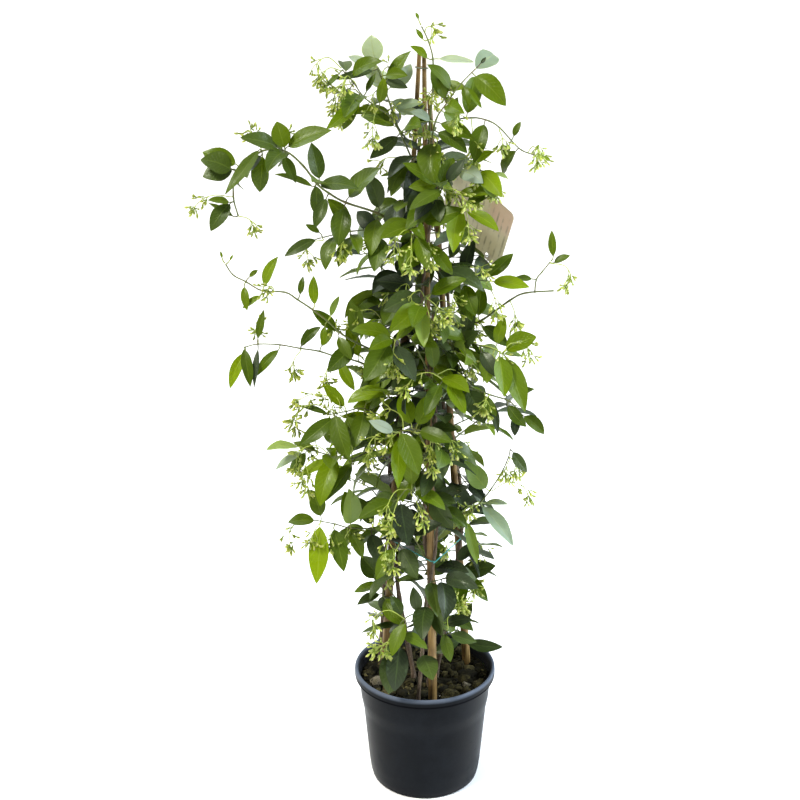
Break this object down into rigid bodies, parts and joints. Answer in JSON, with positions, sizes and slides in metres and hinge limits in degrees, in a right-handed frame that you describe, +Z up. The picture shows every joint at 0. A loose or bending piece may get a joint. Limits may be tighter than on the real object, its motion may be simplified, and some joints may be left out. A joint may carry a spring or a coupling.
{
  "type": "potted climbing plant on canes",
  "caption": "Climbing star jasmine in bud, wound up bamboo canes tied at the top, standing in a round nursery pot of soil with a bare hang tag.",
  "frame": {"origin": "centre of the pot's underside, on the surface that it stands on", "axes": "+Z up the plant, -Y towards the front, +X to the right as seen from the front"},
  "size_m": [0.4819, 0.2927, 1.0689],
  "materials": {
    "pot_plastic": "moulded dark blue-grey plastic, satin, with a soft bluish sheen",
    "soil": "coarse bark and peat potting mix, dry and matt",
    "cane": "bamboo cane, satin, darker at the knots",
    "tie_string": "thin teal plastic string",
    "tag_card": "bare laminated card",
    "old_foliage": "woody vine and old dark glossy leaves",
    "foliage": "green stems and waxy leaves, thin enough to let light through",
    "buds": "yellow-green flower buds on pale stalks"
  },
  "bodies": {
    "root": {"cane_front": "cane", "cane_left": "cane", "cane_right": "cane", "pot": "pot_plastic", "shoot_back_330": "foliage", "shoot_back_430": "foliage", "shoot_back_520": "foliage", "shoot_back_640": "foliage", "shoot_back_760": "foliage", "shoot_back_880": "foliage", "shoot_crown_left_high": "foliage", "shoot_crown_left_low": "foliage", "shoot_crown_right_high": "foliage", "shoot_crown_right_low": "foliage", "shoot_front_360": "foliage", "shoot_front_430": "foliage", "shoot_front_530": "foliage", "shoot_front_600": "foliage", "shoot_front_660": "foliage", "shoot_front_710": "foliage", "shoot_front_820": "foliage", "shoot_front_990": "foliage", "shoot_left_fan_high": "foliage", "shoot_left_fan_low": "foliage", "shoot_left_forked": "foliage", "shoot_left_hanging": "foliage", "shoot_left_long": "foliage", "shoot_left_shelf": "foliage", "shoot_low_front": "foliage", "shoot_low_front_right": "foliage", "shoot_low_left": "foliage", "shoot_low_right": "foliage", "shoot_right_brown": "foliage", "shoot_right_high": "foliage", "shoot_right_knee": "foliage", "shoot_right_rising": "foliage", "shoot_right_stick": "foliage", "shoot_right_stick_end": "foliage", "shoot_right_upper": "foliage", "shoot_tag_side_high": "foliage", "shoot_tag_side_low": "foliage", "shoot_tip": "foliage", "shoot_upper_left": "foliage", "soil": "soil", "spray_front_high": "buds", "spray_front_low": "buds", "spray_left_high": "buds", "spray_left_low": "buds", "spray_left_middle": "buds", "spray_right": "buds", "tag": "tag_card", "tag_string": "tie_string", "tie_low": "tie_string", "tie_top": "tie_string", "vine_front": "old_foliage", "vine_front_thin": "old_foliage", "vine_left": "old_foliage", "vine_left_thin": "old_foliage", "vine_right": "old_foliage"}
  },
  "joints": []
}
